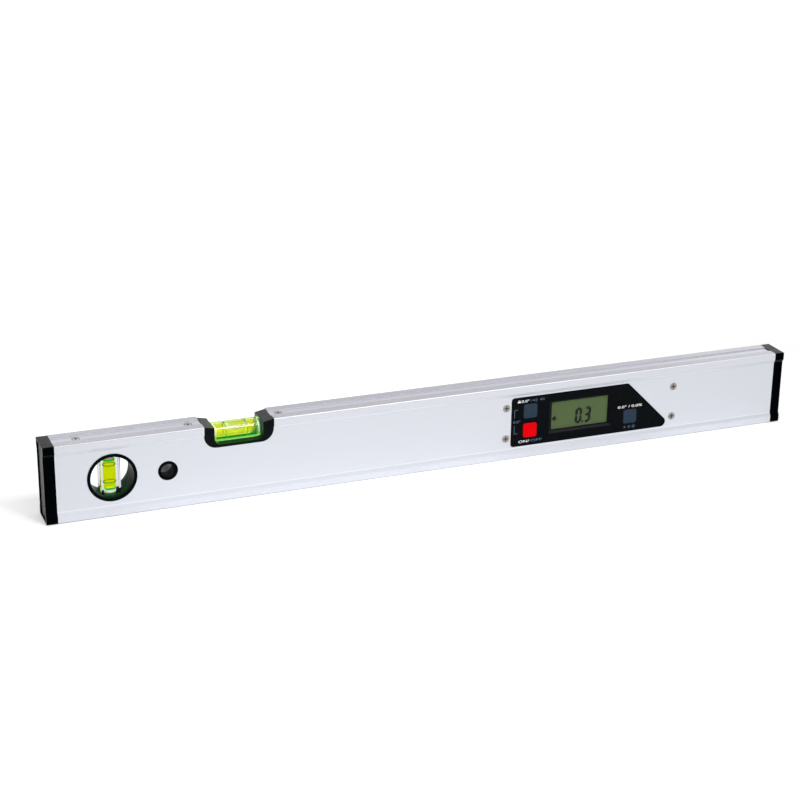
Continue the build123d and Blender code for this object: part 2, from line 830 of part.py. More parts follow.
# Every piece by the name of its node
def make_pieces():
    cap = make_cap()
    bush = make_bush()
    plumb_screw, left_screw, right_screw = make_top_screws()
    pieces = {
        "profile": make_profile(),
        "end_cap_left": mirror(cap, about=Plane.YZ),
        "end_cap_right": cap,
        "hang_bush_front": bush,
        "hang_bush_back": mirror(bush, about=Plane.XZ),
        "level_vial_cradle": make_cradle(),
        "cradle_anchor_left": make_anchor(-1, anchor_screw_left),
        "cradle_anchor_right": make_anchor(1, anchor_screw_right),
        "anchor_screws": group(left_screw, right_screw),
        "level_vial_tube": make_level_tube(),
        "level_vial_liquid": make_level_liquid(),
        "level_vial_rings": make_level_rings(),
        "level_vial_plugs": make_level_plugs(),
        "plumb_insert": make_plumb_insert(),
        "plumb_bezel_front": make_plumb_bezel(),
        "plumb_bezel_back": make_plumb_back_bezel(),
        "plumb_screw": plumb_screw,
        "plumb_vial_block": make_plumb_block(),
        "plumb_vial_liquid": make_plumb_liquid(),
        "plumb_vial_rings": make_plumb_rings(),
        "plumb_vial_plug": make_plumb_plug(),
        "display_tray": make_tray(),
        "display_screws": make_display_screws(),
        "display_bezel": make_bezel(),
        "display_lens": make_lens(),
        "lcd_panel": make_panel(),
        "lcd_backlight": make_backlight(),
        "lcd_contact_strips": make_strips(),
        "main_board": make_board(),
        "board_screws": make_board_screws(),
        "tilt_sensor": make_sensor(),
        "controller_chip": make_chip(),
        "buzzer": make_buzzer(),
        "key_switches": make_switches(),
        "battery_cells": make_cells(),
        "battery_terminals": make_terminals(),
        "battery_bridge": make_bridge(),
        "battery_cover": make_cover(),
        "cover_screws": make_cover_screws(),
    }
    for name, place in key_places().items():
        pieces[name + "_key"] = make_key(place)
        pieces[name + "_stem"] = make_stem(place)
    return pieces


os.makedirs("parts", exist_ok=True)
for node, shape in make_pieces().items():
    export_step(shape, f"parts/{node}.step")
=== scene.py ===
import json
import math

import bmesh
import bpy
from mathutils import Matrix, Vector


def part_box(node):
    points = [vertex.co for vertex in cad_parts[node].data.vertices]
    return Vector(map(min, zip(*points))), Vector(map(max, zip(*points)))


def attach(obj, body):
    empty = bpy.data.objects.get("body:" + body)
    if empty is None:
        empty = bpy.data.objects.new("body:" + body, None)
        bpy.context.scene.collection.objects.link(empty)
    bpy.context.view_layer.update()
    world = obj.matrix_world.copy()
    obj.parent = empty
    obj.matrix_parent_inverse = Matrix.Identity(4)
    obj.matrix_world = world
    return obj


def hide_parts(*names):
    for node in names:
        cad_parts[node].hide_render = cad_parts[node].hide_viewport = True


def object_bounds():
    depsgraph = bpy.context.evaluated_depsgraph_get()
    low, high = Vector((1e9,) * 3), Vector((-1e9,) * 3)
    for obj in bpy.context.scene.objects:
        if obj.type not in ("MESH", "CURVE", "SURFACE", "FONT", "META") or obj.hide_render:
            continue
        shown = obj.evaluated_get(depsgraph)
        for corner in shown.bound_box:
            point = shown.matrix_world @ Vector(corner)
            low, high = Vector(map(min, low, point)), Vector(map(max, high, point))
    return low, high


# Digital spirit level: finishes, vials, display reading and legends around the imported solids. Metres.

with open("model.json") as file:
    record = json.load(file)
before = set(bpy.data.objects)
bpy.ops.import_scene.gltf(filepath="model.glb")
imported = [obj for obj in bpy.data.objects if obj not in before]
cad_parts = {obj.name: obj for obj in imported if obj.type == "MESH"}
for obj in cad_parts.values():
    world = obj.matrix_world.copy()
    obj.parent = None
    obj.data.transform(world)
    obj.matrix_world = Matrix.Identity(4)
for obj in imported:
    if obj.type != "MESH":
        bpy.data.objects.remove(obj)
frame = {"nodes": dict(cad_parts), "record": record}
cad_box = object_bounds()
nodes = frame["nodes"]
slots = {part["node"]: part["material_slot"] for part in frame["record"]["subparts"]}
mm = 0.001
root = "level_body"

# Camera of the photograph: angles in radians, distances in metres, lens and sensor in millimetres
view_turn = math.radians(-21.73)
view_rise = math.radians(20.84)
view_roll = math.radians(0.73)
view_distance = 1.4257
view_target = Vector((-0.0280, -0.0006, 0.05633))
view_lens = 85.45
view_sensor = 36.0
view_near = 0.01
view_far = 50.0

# Relief of the finishes, values between which most of each kind of noise lies, and slant where sheen grows
plastic_grain = 0.010 * mm
metal_grain = 0.006 * mm
die_grain = 0.004 * mm
track_relief = 0.02 * mm
cloud_span = (0.3, 0.7)
metal_span = (0.25, 0.75)
die_span = (0.2, 0.8)
slant_span = (0.30, 0.62)

# Body finish: distances from the middle height, depths inside the outer faces, and painted shade that
# darkens the long edges along X; fold marks are painted shade and the gleam a painted highlight
fold_span = (20.0 * mm, 26.0 * mm)
halves_blur = 1.0 * mm
fold_shade_strength = 0.22
gleam_strength = 0.16
slope_dullness = 0.25
land_depth = (0.06 * mm, 0.03 * mm)
groove_depth = (0.86 * mm, 0.84 * mm)
edge_shade_depth = (0.8 * mm, 0.5 * mm)
edge_shade_along = (20.0 * mm, -300.0 * mm)

# Bezel finish: depth where the film ends, height over the lens's low edge of the sill that is lightened
# with painted light
film_depth = (0.40 * mm, 0.50 * mm)
sill_rise = 0.8 * mm
sill_blur = 0.05 * mm

# Painted green light at the foot of the window lining: depth behind the front of its ring, drop below the
# ring's middle
lining_depth = (1.5 * mm, 4.0 * mm)
lining_drop = (4.0 * mm, 11.0 * mm)

# Screw heads: depth where the painted shade of the recess starts and ends, share of the radius where
# painted shade darkens the rim
recess_shade_depth = (0.2 * mm, 0.4 * mm)
rim_shade_share = (0.70, 0.84)

# Tube of the lying vial: refraction, rounded ends, direction of its crest, and shares where its painted
# reflection, coat, painted green line and painted glow start and end
tube_index = 1.14
tube_edge = 0.5 * mm
tube_shoulder = 1.2 * tube_edge
crest_up = 0.94
crest_back = 0.34
crest_painted_reflection = (0.74, 0.80)
crest_matt = (0.78, 0.86)
crest_painted_green = (0.85, 0.89)
wall_painted_glow = (0.20, 0.10)

# Barrel bore of the lying vial and the gas of its bubble
bore_middle = 5.29 * mm
bore_fall = 0.2 * mm
bore_reach = 14.8 * mm
above_bore = 6.0 * mm
gas_half = 7.6 * mm
gas_depth = 3.7 * mm
gas_fullness = 3.2
gas_roundness = 0.55
gas_gap = 0.02 * mm
liquid_gap = 0.01 * mm

# Upright vial: block, barrel bore, pale surface of the liquid, and shade on the plug below its top
block_index = 1.25
block_edge = 0.5 * mm
block_edge_steps = 3
plumb_middle = 4.38 * mm
plumb_end = 4.18 * mm
surface_drop = 0.04 * mm
surface_share = 0.66
plug_shade = (1.6 * mm, 2.6 * mm)

# Liquids, in shares of their boxes: start of the back, rise of the painted shade at the right end, green
# foot
lying_back = (0.35, 0.5)
lying_shade_rise = (0.80, 1.0, 0.25, 0.66)
lying_blur = 0.06
upright_back = (0.3, 0.5)
upright_foot = (0.2, 0.12)

# Fineness of the round meshes
tube_steps = 96
edge_steps = 6
bore_steps = 128
gas_steps = 64
liquid_steps = 96
plumb_steps = 64
plumb_rows = 14
smooth_angle = math.radians(40)

# Reading: places from the middle of the lens, degree mark from the last digit, depths from the panel
reading_front = 0.035 * mm
reading_back = 0.005 * mm
digit_width = 3.75 * mm
digit_height = 11.0 * mm
segment_width = 2.3 * mm
segment_overlap = 0.05 * mm
digit_lean = 0.06
digit_drop = 2.8 * mm
zero_at = -0.45 * mm
three_at = 7.25 * mm
point_half = 0.75 * mm
degree_at = 3.9 * mm
degree_rise = 0.2 * mm
degree_radii = (0.3 * mm, 0.62 * mm)
degree_turn = 1.98 * math.pi
plus_at = -21.3 * mm
plus_drop = 2.7 * mm
plus_arm = 2.1 * mm
plus_half = 0.75 * mm

# Legends: front and back from the bezel's face, and letters of a font whose capitals are font_cap high
legend_front = 0.03 * mm
legend_back = 0.02 * mm
legend_cap = 2.1 * mm
font_cap = 0.729
font_weight = 0.02
weld_reach = 0.0001 * mm

# Words: ink, text, key, and left end, right end and base from the key's middle in millimetres
legend_words = (
    ("white", "ON/", "power_key", -9.2, 0.0, -10.0),
    ("blue", "OFF", "power_key", 1.0, 10.7, -10.0),
    ("white", "0.0\u00b0", "hold_key", -7.6, -1.1, 7.3),
    ("blue", "0.0\u00b0", "hold_key", -14.2, -8.2, -9.0),
    ("white", "0.0\u00b0 / 0.0%", "light_key", -10.8, 10.6, 7.3),
)

# Signs: places from the middle of the key beside them, sizes in millimetres
sign_rise = 7.3 * mm
lock_at = -9.5 * mm
slash_at = 0.4 * mm
sound_at = 3.2 * mm
mute_at = 9.4 * mm
cross_at = 9.9 * mm
cross_half = 1.05
cross_thin = 0.25
lock_half = 1.3
shackle_rise = 1.35
shackle_radii = (0.5, 0.9)
wave_rise = 1.05
wave_radii = (0.8, 1.5, 2.2)
wave_width = 0.28
wave_turn = 0.8
sun_pitch = 3.8 * mm
sun_drop = 8.9 * mm
sun_sizes = (0.75, 0.9, 1.05)
sun_radii = (0.02, 0.65)
sun_turn = 1.999 * math.pi
sun_rays = 8
ray_reach = (0.95, 1.6)
ray_half = 0.16
bracket_at = -13.4 * mm
bracket_far = 2.1
bracket_near = 4.7
bracket_thin = 0.45
bracket_arm = 3.1

# Stage: floor, and strength of the light from all round
floor_size = 6.0
floor_drop = 0.2 * mm
world_fill = 0.55

# Glow of the floor: start and end along X, along Y or from a point, each with the strength there
glow_point = (0.1, -0.3, 0.0)
glow_left = (-0.40, -0.20, 0.45, 1.0)
glow_right = (-0.05, 0.40, 1.0, 0.35)
glow_front = (-0.35, -0.03, 0.10, 0.42)
glow_near = (0.38, 0.88, 0.0, 0.46)
glow_far = (0.6, 1.8, 0.0, 0.60)

# Area lamps: name, place, target, length, width and power
lamps = (
    ("key", (0.05, -0.725, 1.306), (0.05, 0.0, 0.05), 1.1, 0.34, 9.7),
    ("key_far", (0.925, -0.725, 1.306), (0.925, 0.0, 0.05), 0.65, 0.34, 2.4),
    ("glint", (0.217, -0.95, 1.04), (-0.157, 0.0, 0.05), 0.08, 0.3, 2.6),
    ("rim", (1.1, 1.0, 0.55), (0.3, 0.0, 0.05), 0.5, 0.3, 0.38),
    ("rim_left", (-0.12, 1.0, 0.50), (-0.27, 0.0, 0.05), 0.25, 0.3, 0.08),
)


def middle_of(node):
    low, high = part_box(node)
    return (low + high) / 2


# Materials: small helpers around one principled shader each

def shader_of(mat):
    return mat.node_tree.nodes["Principled BSDF"]


def set_values(mat, sockets):
    for socket, value in sockets.items():
        shader_of(mat).inputs[socket].default_value = value


def new_material(name, sockets):
    mat = bpy.data.materials.new(name)
    mat.use_nodes = True
    set_values(mat, sockets)
    return mat


# Link a socket to another node's output, or give it a plain value
def set_input(owner, socket, value):
    if isinstance(value, bpy.types.NodeSocket):
        owner.node_tree.links.new(value, socket)
    else:
        socket.default_value = value


def add_node(owner, kind, inputs=None, **settings):
    made = owner.node_tree.nodes.new(kind)
    for key, value in settings.items():
        setattr(made, key, value)
    for key, value in (inputs or {}).items():
        set_input(owner, made.inputs[key], value)
    return made


def feed(mat, socket, source):
    mat.node_tree.links.new(source, shader_of(mat).inputs[socket])


# What a socket of the shader is fed with so far
def fed(mat, socket):
    return shader_of(mat).inputs[socket].links[0].from_socket


def place(mat):
    return add_node(mat, "ShaderNodeTexCoord").outputs["Object"]


def stretched(mat, scale):
    return add_node(mat, "ShaderNodeMapping", {"Vector": place(mat), "Scale": scale}).outputs["Vector"]


def noise(mat, scale, detail, roughness=0.5):
    inputs = {"Vector": stretched(mat, scale), "Scale": 1.0, "Detail": detail, "Roughness": roughness}
    return add_node(mat, "ShaderNodeTexNoise", inputs).outputs["Fac"]


# Noise of the same scale in all directions
def even_noise(mat, scale, detail=2.0):
    return noise(mat, (scale, scale, scale), detail)


def math_node(owner, operation, first, second=0.0):
    return add_node(owner, "ShaderNodeMath", {0: first, 1: second}, operation=operation).outputs[0]


def product(mat, first, *factors):
    for factor in factors:
        first = math_node(mat, "MULTIPLY", first, factor)
    return first


def remap(owner, value, low, high, to_low=0.0, to_high=1.0):
    inputs = {"Value": value, "From Min": low, "From Max": high, "To Min": to_low, "To Max": to_high}
    return add_node(owner, "ShaderNodeMapRange", inputs).outputs["Result"]


def axis_value(mat, axis):
    split = add_node(mat, "ShaderNodeSeparateXYZ", {"Vector": place(mat)})
    return split.outputs[axis]


# Place along an axis, measured from a point
def offset_from(mat, axis, start):
    return math_node(mat, "SUBTRACT", axis_value(mat, axis), start)


# Distance along an axis to either side of a point
def distance_from(mat, axis, start):
    return math_node(mat, "ABSOLUTE", offset_from(mat, axis, start))


# Share of the way across a solid's box along an axis
def share_along(mat, node, axis):
    low, high = (corner["XYZ".index(axis)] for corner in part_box(node))
    return remap(mat, axis_value(mat, axis), low, high)


# Share of the way between two depths inside an outer face
def share_inside(mat, value, face, depths):
    return remap(mat, value, face - depths[0], face - depths[1])


def ramp(mat, value, stops, interpolation="LINEAR"):
    made = add_node(mat, "ShaderNodeValToRGB", {"Fac": value})
    made.color_ramp.interpolation = interpolation
    elements = made.color_ramp.elements
    while len(elements) < len(stops):
        elements.new(0.5)
    for element, (position, colour) in zip(elements, stops):
        element.position = position
        element.color = (*colour, 1.0)
    return made.outputs["Color"]


# Two colours that follow a noise
def two_tones(mat, value, span, dark, light):
    return ramp(mat, value, list(zip(span, (dark, light))))


# Share that rises and falls with a value, from pairs of position and share
def bands(mat, value, *stops):
    return ramp(mat, value, [(position, (share, share, share)) for position, share in stops])


# Sockets of a mix node that blends colours
mix_share, mix_first, mix_second, mix_result = 0, 6, 7, 2


def blend_colour(mat, share, first, second):
    made = add_node(mat, "ShaderNodeMix", {mix_share: share}, data_type="RGBA")
    for index, colour in ((mix_first, first), (mix_second, second)):
        set_input(mat, made.inputs[index], (*colour, 1.0) if isinstance(colour, tuple) else colour)
    return made.outputs[mix_result]


def bump(mat, height, relief):
    made = add_node(mat, "ShaderNodeBump", {"Height": height, "Distance": relief, "Strength": 1.0})
    feed(mat, "Normal", made.outputs["Normal"])


# 1 for a ray from the camera, from a gloss or through a clear piece, and 0 for the rest
def seen_directly(owner):
    path = add_node(owner, "ShaderNodeLightPath")
    seen = math_node(owner, "MAXIMUM", path.outputs["Is Camera Ray"], path.outputs["Is Glossy Ray"])
    return math_node(owner, "MAXIMUM", seen, path.outputs["Is Transmission Ray"])


# Moulded plastic: fine spark grain, slightly uneven gloss that grows towards grazing angles
def plastic(name, dark, light, gloss=(0.28, 0.40), sheen=(0.025, 0.20), mirror=(1.0, 1.0, 1.0)):
    mat = new_material(name, {"Specular Tint": (*mirror, 1.0)})
    cloud = even_noise(mat, 240, 4.0)
    spark = even_noise(mat, 5200)
    feed(mat, "Base Color", two_tones(mat, cloud, cloud_span, dark, light))
    feed(mat, "Roughness", remap(mat, cloud, *cloud_span, *gloss))
    facing = add_node(mat, "ShaderNodeLayerWeight", {"Blend": 0.5}).outputs["Facing"]
    feed(mat, "Specular IOR Level", remap(mat, facing, *slant_span, *sheen))
    bump(mat, spark, plastic_grain)
    return mat


# Metal with a grain that is stretched by direction
def metal(name, dark, light, stretch, gloss):
    mat = new_material(name, {"Metallic": 1.0})
    lines = noise(mat, stretch, 4.0, 0.6)
    feed(mat, "Base Color", two_tones(mat, lines, metal_span, dark, light))
    feed(mat, "Roughness", remap(mat, lines, *metal_span, *gloss))
    bump(mat, lines, metal_grain)
    return mat


# Bezel: black film all over but for the low slope of the window, which is lightened with painted light
def filmed(name, film, sill_light_tint):
    mat = plastic(name, *film, sheen=(0.022, 0.06))
    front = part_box("display_bezel")[0].y
    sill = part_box("display_lens")[0].z + sill_rise
    behind = remap(mat, axis_value(mat, "Y"), front + film_depth[0], front + film_depth[1])
    below = remap(mat, axis_value(mat, "Z"), sill + sill_blur, sill - sill_blur)
    sill_painted_light = product(mat, behind, below)
    feed(mat, "Base Color", blend_colour(mat, sill_painted_light, fed(mat, "Base Color"), sill_light_tint))
    return mat


# Black lining of the round window, with painted green light at its foot for the light that comes through
# the vial
def window_lining(name, dark, light):
    mat = plastic(name, dark, light, sheen=(0.005, 0.02))
    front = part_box("plumb_bezel_front")[0].y
    middle = middle_of("plumb_bezel_front").z
    behind = remap(mat, axis_value(mat, "Y"), front + lining_depth[0], front + lining_depth[1])
    foot = remap(mat, axis_value(mat, "Z"), middle - lining_drop[0], middle - lining_drop[1])
    foot_painted_light = product(mat, behind, foot)
    feed(mat, "Base Color", blend_colour(mat, foot_painted_light, fed(mat, "Base Color"), (0.003, 0.040, 0.012)))
    return mat


# Edge of one screw head, or of two that stand apart along X, where painted shade stands in for the shade of
# the countersink
def head_rim_shade(mat, low, high):
    middle = (low + high) / 2
    radius = (high.y - low.y) / 2
    half_pitch = (high.x - low.x) / 2 - radius
    along = math_node(mat, "SUBTRACT", distance_from(mat, "X", middle.x), half_pitch)
    across = offset_from(mat, "Y", middle.y)
    squares = [product(mat, side, side) for side in (along, across)]
    reach = math_node(mat, "SQRT", math_node(mat, "ADD", *squares))
    return remap(mat, reach, rim_shade_share[0] * radius, rim_shade_share[1] * radius)


# Screw heads with painted shade in their recess, below the top face or behind the front face, and on the
# rim of heads in the top face
def recess_shaded_steel(name, node, axis, dark, light):
    mat = metal(name, dark, light, (2500, 2500, 2500), (0.30, 0.45))
    low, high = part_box(node)
    face, inwards = (high.z, -1) if axis == "Z" else (low.y, 1)
    start, end = (face + inwards * depth for depth in recess_shade_depth)
    tint = fed(mat, "Base Color")
    if axis == "Z":
        tint = blend_colour(mat, head_rim_shade(mat, low, high), tint, (0.20, 0.18, 0.17))
    recess_shade = remap(mat, axis_value(mat, axis), start, end)
    feed(mat, "Base Color", blend_colour(mat, recess_shade, tint, (0.10, 0.095, 0.085)))
    return mat


# Colour of the drawn body, with its die lines and a slow drift
def satin(mat, lines):
    drift = remap(mat, noise(mat, (14, 30, 30), 2.0), *cloud_span, 0.0, 0.35)
    drawn = two_tones(mat, lines, die_span, (0.612, 0.632, 0.682), (0.655, 0.672, 0.718))
    return blend_colour(mat, drift, drawn, (0.640, 0.650, 0.700))


# Colour of the milled lands, with tool marks across them
def milled(mat):
    marks = noise(mat, (900, 260, 30), 3.0, 0.6)
    return two_tones(mat, marks, metal_span, (0.415, 0.41, 0.447), (0.54, 0.535, 0.572))


# Shares and colours along the folds of the web: dark marks of painted shade, a painted highlight above,
# painted shade on the duller low slope and a painted highlight on the lip below
def fold_layers(mat, fold, above, below, rough_shaded_slope):
    marks = bands(mat, fold, (0.20, 0), (0.24, 1), (0.29, 0), (0.62, 0), (0.67, 1), (0.72, 0))
    gleam = bands(mat, fold, (0.32, 0), (0.42, 1), (0.55, 0))
    lip_highlight = bands(mat, fold, (0.15, 0), (0.19, 1), (0.24, 1), (0.28, 0))
    return [
        (product(mat, marks, fold_shade_strength), (0.36, 0.36, 0.40)),
        (product(mat, gleam, above, gleam_strength), (0.78, 0.78, 0.80)),
        (rough_shaded_slope, (0.515, 0.53, 0.575)),
        (product(mat, lip_highlight, below), (0.77, 0.78, 0.81)),
    ]


# Shares and colours near the measuring faces: groove, painted shade on the long edges that dims their
# highlight towards the left, and lands
def face_layers(mat, away, half_height, half_width):
    near_side = share_inside(mat, distance_from(mat, "Y", 0.0), half_width, edge_shade_depth)
    near_face = share_inside(mat, away, half_height, edge_shade_depth)
    edge_shade_leftwards = remap(mat, axis_value(mat, "X"), *edge_shade_along)
    return [
        (share_inside(mat, away, half_height, groove_depth), (0.575, 0.585, 0.635)),
        (product(mat, near_side, near_face, edge_shade_leftwards), (0.37, 0.375, 0.41)),
        (share_inside(mat, away, half_height, land_depth), milled(mat)),
    ]


# Satin anodised extrusion with die lines along its length and milled lands on both measuring faces
def anodised(name):
    mat = new_material(name, {"Metallic": 0.9, "Anisotropic": 0.35})
    low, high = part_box("profile")
    middle = (low.z + high.z) / 2
    lines = noise(mat, (5, 1500, 1500), 5.0, 0.65)
    away = distance_from(mat, "Z", middle)
    above = remap(mat, axis_value(mat, "Z"), middle - halves_blur, middle + halves_blur)
    below = math_node(mat, "SUBTRACT", 1.0, above)
    fold = remap(mat, away, *fold_span)
    # Low slope: rougher, and darker in colour as painted shade that dims the lamp's highlight on it
    rough_shaded_slope = product(mat, bands(mat, fold, (0.22, 0), (0.28, 1), (0.60, 1), (0.66, 0)), below)
    layers = fold_layers(mat, fold, above, below, rough_shaded_slope)
    layers += face_layers(mat, away, (high.z - low.z) / 2, high.y)
    tint = satin(mat, lines)
    for share, colour in layers:
        tint = blend_colour(mat, share, tint, colour)
    feed(mat, "Base Color", tint)
    dull = product(mat, rough_shaded_slope, slope_dullness)
    feed(mat, "Roughness", math_node(mat, "ADD", remap(mat, lines, *die_span, 0.33, 0.45), dull))
    bump(mat, lines, die_grain)
    return mat


# Clear acrylic with faint flow marks
def clear(name, colour, index, mirror=1.0):
    mat = new_material(name, {"Transmission Weight": 1.0, "IOR": index,
                              "Specular Tint": (mirror, mirror, mirror, 1.0)})
    cloud = even_noise(mat, 90)
    bright = tuple(min(1.0, 1.02 * part) for part in colour)
    feed(mat, "Base Color", two_tones(mat, cloud, cloud_span, colour, bright))
    feed(mat, "Roughness", remap(mat, cloud, *cloud_span, 0.0, 0.02))
    return mat


# Tube with a pale band of painted reflection and a painted green line along its crest, and a painted glow
# of the liquid's green on its low wall
def tube_glass(name, node):
    mat = clear(name, (0.86, 0.89, 0.84), tube_index)
    set_values(mat, {"Coat Roughness": 0.02, "Emission Strength": 0.7})
    low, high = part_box(node)
    middle = (low + high) / 2
    upwards = product(mat, offset_from(mat, "Z", middle.z), crest_up)
    backwards = product(mat, offset_from(mat, "Y", middle.y), crest_back)
    crest = remap(mat, math_node(mat, "ADD", upwards, backwards), 0.0, (high.z - low.z) / 2)
    height = share_along(mat, node, "Z")
    tint = fed(mat, "Base Color")
    tint = blend_colour(mat, remap(mat, crest, *crest_painted_reflection), tint, (0.72, 0.85, 0.45))
    tint = blend_colour(mat, remap(mat, crest, *crest_painted_green), tint, (0.36, 0.58, 0.03))
    tint = blend_colour(mat, remap(mat, height, *wall_painted_glow), tint, (0.55, 0.80, 0.26))
    feed(mat, "Base Color", tint)
    feed(mat, "Coat Weight", remap(mat, crest, *crest_matt, 0.45, 0.0))
    glow = [(0.0, (0.26, 0.46, 0.08)), (0.06, (0.22, 0.46, 0.06)), (0.12, (0.08, 0.40, 0.03)),
            (0.24, (0.06, 0.36, 0.03)), (0.28, (0.0, 0.0, 0.0))]
    feed(mat, "Emission Color", ramp(mat, height, glow))
    return mat


# Wall of the bubble: pale at its foot and crown, tinted by a film of liquid between
def bubble_wall(name, low, high):
    mat = clear(name, (0.9, 0.9, 0.9), tube_index)
    height = remap(mat, axis_value(mat, "Z"), low, high)
    tones = [(0.0, (0.95, 0.96, 0.94)), (0.22, (0.94, 0.96, 0.92)), (0.36, (0.78, 0.90, 0.40)),
             (0.78, (0.78, 0.90, 0.42)), (0.90, (0.92, 0.96, 0.84))]
    feed(mat, "Base Color", ramp(mat, height, tones))
    return mat


# Liquid with a painted glow: the material, the height in it, and that height with a slow swirl
def new_liquid(name, node, glow, swing):
    mat = new_material(name, {"Transmission Weight": 0.80, "IOR": 1.02, "Roughness": 0.0,
                              "Specular IOR Level": 0.0, "Emission Strength": glow})
    height = share_along(mat, node, "Z")
    swirl = remap(mat, even_noise(mat, 160), *cloud_span, -swing, swing)
    return mat, height, math_node(mat, "ADD", height, swirl)


# Liquid of the lying vial: yellow-green, greener towards its low side, with painted shade of darker green
# at its right end and a painted highlight along its top
def lying_liquid(name, node):
    mat, height, wavy = new_liquid(name, node, 0.4, 0.02)
    crest = remap(mat, share_along(mat, node, "X"), *lying_shade_rise)
    # Painted shade: darker green under a slant at the right end
    under = remap(mat, math_node(mat, "SUBTRACT", crest, height), 0.0, lying_blur)
    behind = remap(mat, share_along(mat, node, "Y"), *lying_back)
    tones = [(0.0, (0.0, 0.36, 0.06)), (0.26, (0.0, 0.36, 0.07)), (0.29, (0.70, 0.72, 0.0)),
             (0.50, (0.55, 0.54, 0.0)), (0.88, (0.56, 0.56, 0.0)), (1.0, (0.66, 0.71, 0.28))]
    banded = blend_colour(mat, under, ramp(mat, wavy, tones), (0.0, 0.30, 0.07))
    feed(mat, "Base Color", blend_colour(mat, behind, banded, (0.70, 0.75, 0.0)))
    glow = [(0.0, (0.0, 0.24, 0.05)), (0.26, (0.0, 0.20, 0.05)), (0.29, (0.85, 0.75, 0.0)),
            (0.36, (0.82, 0.71, 0.0)), (0.46, (0.38, 0.34, 0.0)), (0.60, (0.06, 0.06, 0.0))]
    feed(mat, "Emission Color", blend_colour(mat, under, ramp(mat, wavy, glow), (0.0, 0.14, 0.04)))
    return mat


# Liquid of the upright vial: yellow, with a green rim at its foot in front and at its surface
def upright_liquid(name, node):
    mat, height, wavy = new_liquid(name, node, 1.0, 0.01)
    behind = remap(mat, share_along(mat, node, "Y"), *upright_back)
    hidden = product(mat, behind, remap(mat, height, *upright_foot))
    tones = [(0.0, (0.0, 0.24, 0.055)), (0.07, (0.02, 0.30, 0.04)), (0.10, (0.76, 0.84, 0.0)),
             (0.95, (0.78, 0.86, 0.0)), (0.975, (0.0, 0.30, 0.07))]
    feed(mat, "Base Color", blend_colour(mat, hidden, ramp(mat, wavy, tones), (0.76, 0.84, 0.0)))
    glow = [(0.0, (0.0, 0.13, 0.03)), (0.07, (0.0, 0.10, 0.02)), (0.10, (0.08, 0.09, 0.0)),
            (0.95, (0.08, 0.09, 0.0)), (0.975, (0.0, 0.09, 0.02))]
    feed(mat, "Emission Color", blend_colour(mat, hidden, ramp(mat, wavy, glow), (0.06, 0.07, 0.0)))
    return mat


# End plugs with a painted glow for the light through the tube: a painted highlight at the pale left rim,
# dark and pale green bands at the right
def glowing_plug(name, node):
    mat = new_material(name, {"Emission Strength": 0.35, "Specular IOR Level": 0.2})
    cloud = even_noise(mat, 400)
    ripple = remap(mat, cloud, *cloud_span, -0.003, 0.003)
    tones = [(0.0, (0.80, 0.84, 0.80)), (0.035, (0.80, 0.84, 0.80)), (0.06, (0.55, 0.66, 0.10)),
             (0.915, (0.30, 0.50, 0.06)), (0.932, (0.01, 0.17, 0.05)), (0.945, (0.24, 0.52, 0.12)),
             (0.960, (0.62, 0.76, 0.52)), (0.972, (0.46, 0.68, 0.36)), (0.986, (0.03, 0.26, 0.07)),
             (1.0, (0.01, 0.10, 0.03))]
    banded = ramp(mat, math_node(mat, "ADD", share_along(mat, node, "X"), ripple), tones)
    feed(mat, "Base Color", banded)
    feed(mat, "Emission Color", banded)
    feed(mat, "Roughness", remap(mat, cloud, *cloud_span, 0.3, 0.4))
    return mat


# Pale plug lit through the clear block, green in the shade further down
def lit_plug(name, node):
    mat = new_material(name, {"Emission Strength": 0.75, "Specular IOR Level": 0.2})
    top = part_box(node)[1].z
    cloud = even_noise(mat, 400)
    pale = two_tones(mat, cloud, cloud_span, (0.70, 0.74, 0.56), (0.78, 0.82, 0.64))
    shade = share_inside(mat, axis_value(mat, "Z"), top, plug_shade)
    tint = blend_colour(mat, shade, pale, (0.02, 0.09, 0.03))
    feed(mat, "Base Color", tint)
    feed(mat, "Emission Color", tint)
    feed(mat, "Roughness", remap(mat, cloud, *cloud_span, 0.3, 0.4))
    return mat


# Window in front of the display: thin, glossy and nearly invisible
def window_film(name):
    mat = new_material(name, {"Base Color": (0.02, 0.03, 0.02, 1.0), "Alpha": 0.06})
    feed(mat, "Roughness", remap(mat, even_noise(mat, 60), *cloud_span, 0.05, 0.12))
    return mat


# Reflective display glass: olive ground with a fine mottle, and a painted glow of the same olive that
# lightens the shade under the bezel
def lcd_ground(name):
    mat = new_material(name, {"Specular IOR Level": 0.25, "Emission Strength": 0.55})
    mottle = even_noise(mat, 2600, 3.0)
    fine = two_tones(mat, mottle, cloud_span, (0.052, 0.083, 0.025), (0.064, 0.098, 0.032))
    drift = remap(mat, even_noise(mat, 24), 0.35, 0.65, 0.0, 0.4)
    olive = blend_colour(mat, drift, fine, (0.058, 0.086, 0.035))
    feed(mat, "Base Color", olive)
    feed(mat, "Emission Color", olive)
    feed(mat, "Roughness", remap(mat, mottle, *cloud_span, 0.45, 0.6))
    return mat


# Green board with a plain grid of tracks under the mask
def board_mask(name):
    mat = new_material(name, {"Coat Weight": 0.3, "Coat Roughness": 0.2})
    brick = add_node(mat, "ShaderNodeTexBrick", {"Vector": stretched(mat, (420, 420, 420)), "Scale": 1.0})
    brick.inputs["Color1"].default_value = (0.010, 0.085, 0.028, 1.0)
    brick.inputs["Color2"].default_value = (0.012, 0.10, 0.034, 1.0)
    brick.inputs["Mortar"].default_value = (0.05, 0.20, 0.07, 1.0)
    feed(mat, "Base Color", brick.outputs["Color"])
    feed(mat, "Roughness", remap(mat, even_noise(mat, 700, 3.0), *cloud_span, 0.35, 0.5))
    bump(mat, brick.outputs["Fac"], track_relief)
    return mat


